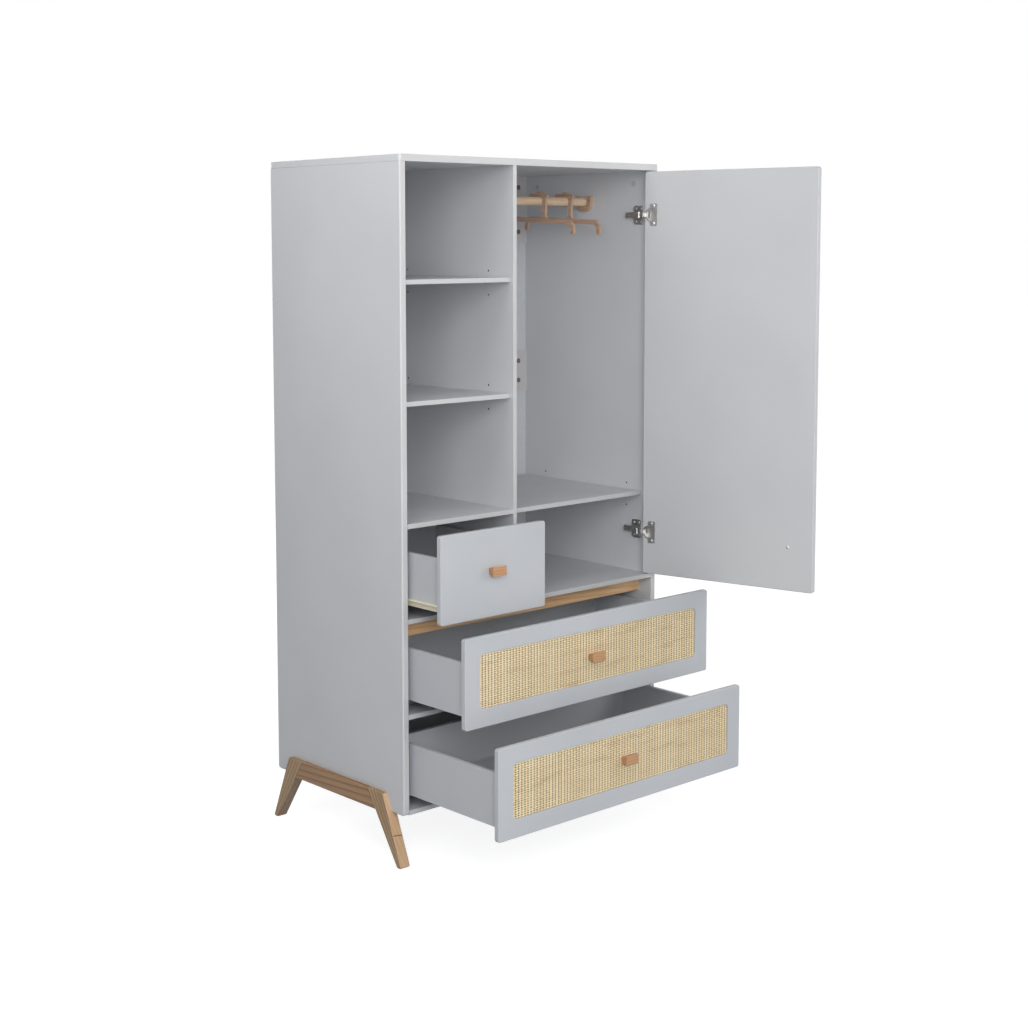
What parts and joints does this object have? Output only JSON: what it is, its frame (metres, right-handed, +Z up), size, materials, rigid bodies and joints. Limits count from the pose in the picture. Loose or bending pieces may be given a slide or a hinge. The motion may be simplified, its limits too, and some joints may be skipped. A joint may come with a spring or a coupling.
{
  "type": "wardrobe",
  "caption": "Free-standing wardrobe on splayed wooden legs with open shelves, a hanging bay behind a door, a small drawer and wide cane-fronted drawers.",
  "frame": {"origin": "on the floor, midway between the four feet, below the centre of the carcass", "axes": "+X to the right along the front, +Y to the back, +Z up; the front faces -Y"},
  "size_m": [1.0562, 1.0504, 1.804],
  "materials": {
    "lacquered_board": "satin lacquer",
    "oak": "satin oil",
    "zinc": "bright zinc",
    "pine": "satin",
    "plywood": "satin",
    "leg_wood": "satin oil",
    "nickel": "satin nickel",
    "cream_steel": "powder coat",
    "knob_wood": "satin oil",
    "nylon": "matte",
    "cane": "matte"
  },
  "bodies": {
    "carcass": {"top_panel": "lacquered_board", "left_side_panel": "lacquered_board", "right_side_panel": "lacquered_board", "centre_divider": "lacquered_board", "middle_floor": "lacquered_board", "small_drawer_ceiling": "lacquered_board", "bottom_panel": "lacquered_board", "cross_rail": "lacquered_board", "front_stretcher": "oak", "rear_rails": "lacquered_board", "back_sheets": "lacquered_board", "cam_locks": "zinc", "left_shelves": "lacquered_board", "right_shelf": "lacquered_board", "shelf_pins": "zinc", "hanging_rod": "pine", "rod_sockets": "plywood", "socket_screws": "zinc", "legs": "leg_wood", "leg_rails": "leg_wood", "hinge_plates": "nickel", "hinge_plate_screws": "zinc", "hinge_arms": "nickel", "hinge_arm_pins": "nickel", "small_cabinet_runners": "cream_steel", "wide_cabinet_runners": "zinc"},
    "hinge_links": {"hinge_links": "nickel"},
    "door": {"door_panel": "lacquered_board", "hinge_cups": "nickel", "hinge_cup_pins": "nickel", "hinge_cup_screws": "zinc", "door_knob": "knob_wood", "door_knob_screw": "zinc"},
    "small_drawer": {"small_drawer_front": "lacquered_board", "small_drawer_walls": "lacquered_board", "small_drawer_bottom": "lacquered_board", "small_drawer_knob": "knob_wood", "small_drawer_knob_screw": "zinc", "small_drawer_runners": "cream_steel"},
    "small_front_rollers": {"small_front_rollers": "nylon"},
    "small_rear_rollers": {"small_rear_rollers": "nylon"},
    "upper_drawer": {"upper_drawer_front": "lacquered_board", "upper_drawer_cane_panel": "cane", "upper_drawer_walls": "lacquered_board", "upper_drawer_bottom": "lacquered_board", "upper_drawer_knob": "knob_wood", "upper_drawer_knob_screw": "zinc", "upper_drawer_runners": "zinc"},
    "upper_middle_runners": {"upper_middle_runners": "zinc"},
    "lower_drawer": {"lower_drawer_front": "lacquered_board", "lower_drawer_cane_panel": "cane", "lower_drawer_walls": "lacquered_board", "lower_drawer_bottom": "lacquered_board", "lower_drawer_knob": "knob_wood", "lower_drawer_knob_screw": "zinc", "lower_drawer_runners": "zinc"},
    "lower_middle_runners": {"lower_middle_runners": "zinc"},
    "first_hanger": {"first_hanger": "plywood"},
    "second_hanger": {"second_hanger": "plywood"}
  },
  "joints": [
    {"name": "hinge_link_swing", "type": "hinge", "parent": "carcass", "child": "hinge_links", "pos_m": [0.4192, -0.249, 0.763], "axis": [0, 0, 1], "range_deg": [-1.5, 31.01]},
    {"name": "door_swing", "type": "hinge", "parent": "hinge_links", "child": "door", "pos_m": [0.43188, -0.2712, 0.763], "axis": [0, 0, 1], "range_deg": [-134.1, 6.3]},
    {"name": "small_drawer_travel", "type": "slide", "parent": "carcass", "child": "small_drawer", "axis": [0, -1, 0], "range_m": [-0.123, 0.177]},
    {"name": "small_front_roller_spin", "type": "hinge", "parent": "carcass", "child": "small_front_rollers", "pos_m": [-0.27, -0.247, 0.6829], "axis": [1, 0, 0], "continuous": true},
    {"name": "small_rear_roller_spin", "type": "hinge", "parent": "small_drawer", "child": "small_rear_rollers", "pos_m": [-0.27, 0.008, 0.6805], "axis": [1, 0, 0], "continuous": true},
    {"name": "upper_drawer_travel", "type": "slide", "parent": "carcass", "child": "upper_drawer", "axis": [0, -1, 0], "range_m": [-0.213, 0.17]},
    {"name": "upper_middle_runner_travel", "type": "slide", "parent": "carcass", "child": "upper_middle_runners", "axis": [0, -1, 0], "range_m": [-0.1065, 0.085]},
    {"name": "lower_drawer_travel", "type": "slide", "parent": "carcass", "child": "lower_drawer", "axis": [0, -1, 0], "range_m": [-0.332, 0.05]},
    {"name": "lower_middle_runner_travel", "type": "slide", "parent": "carcass", "child": "lower_middle_runners", "axis": [0, -1, 0], "range_m": [-0.166, 0.025]},
    {"name": "first_hanger_travel", "type": "slide", "parent": "carcass", "child": "first_hanger", "axis": [1, 0, 0], "range_m": [-0.32, 0.045]},
    {"name": "second_hanger_travel", "type": "slide", "parent": "carcass", "child": "second_hanger", "axis": [1, 0, 0], "range_m": [-0.045, 0.064]}
  ],
  "couplings": [
    {"joint": "hinge_link_swing", "follows": "door_swing", "ratio": -0.23117},
    {"joint": "small_front_roller_spin", "follows": "small_drawer_travel", "rad_per_m": -142.86},
    {"joint": "small_rear_roller_spin", "follows": "small_drawer_travel", "rad_per_m": 142.86},
    {"joint": "upper_middle_runner_travel", "follows": "upper_drawer_travel", "ratio": 0.5},
    {"joint": "lower_middle_runner_travel", "follows": "lower_drawer_travel", "ratio": 0.5}
  ]
}
